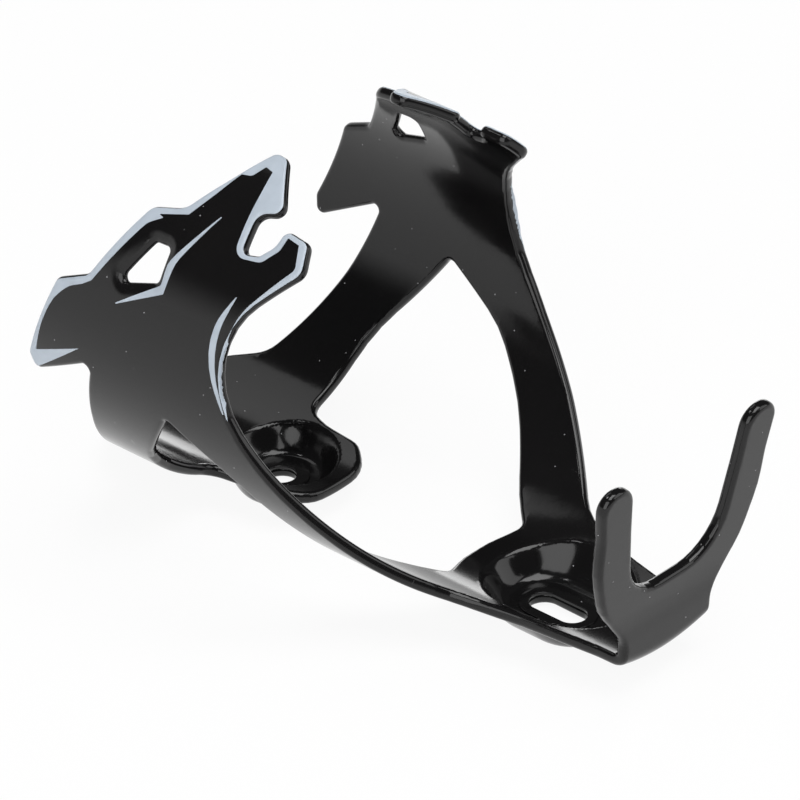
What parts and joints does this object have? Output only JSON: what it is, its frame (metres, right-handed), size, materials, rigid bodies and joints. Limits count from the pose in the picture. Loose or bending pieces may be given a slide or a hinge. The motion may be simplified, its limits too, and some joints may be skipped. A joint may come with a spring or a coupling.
{
  "type": "bicycle water bottle cage",
  "caption": "Moulded bicycle bottle cage: springy side arms with swept panels grip the bottle, a fork foot stops it and two cupped holes take the frame bolts.",
  "frame": {"origin": "centre of the round upper bolt hole, on the mounting plane", "axes": "+Z away from the bicycle frame, +Y along the bottle to its mouth, +X across the cage"},
  "size_m": [0.0768, 0.1254, 0.0778],
  "materials": {
    "black_plastic": "high gloss, fully rounded edges"
  },
  "bodies": {
    "frame_side": {"upper_mount": "black_plastic", "left_bridge": "black_plastic", "right_bridge": "black_plastic", "left_strut": "black_plastic", "right_strut": "black_plastic", "lower_mount": "black_plastic", "heel": "black_plastic", "foot": "black_plastic", "left_prong": "black_plastic", "right_prong": "black_plastic"},
    "left_arm": {"left_upper_leg": "black_plastic", "left_lower_leg": "black_plastic", "left_side_panel": "black_plastic", "left_tab": "black_plastic", "left_upper_blade": "black_plastic", "left_lower_blade": "black_plastic"},
    "right_arm": {"right_upper_leg": "black_plastic", "right_lower_leg": "black_plastic", "right_side_panel": "black_plastic", "right_tab": "black_plastic", "right_upper_blade": "black_plastic", "right_lower_blade": "black_plastic"}
  },
  "joints": [
    {"name": "left_arm_flex", "type": "hinge", "parent": "frame_side", "child": "left_arm", "pos_m": [-0.02638, 0, 0.01602], "axis": [0, -1, 0], "range_deg": [0, 4], "stiffness_Nm_per_rad": 1.8},
    {"name": "right_arm_flex", "type": "hinge", "parent": "frame_side", "child": "right_arm", "pos_m": [0.02638, 0, 0.01602], "axis": [0, 1, 0], "range_deg": [0, 4], "stiffness_Nm_per_rad": 1.8}
  ]
}
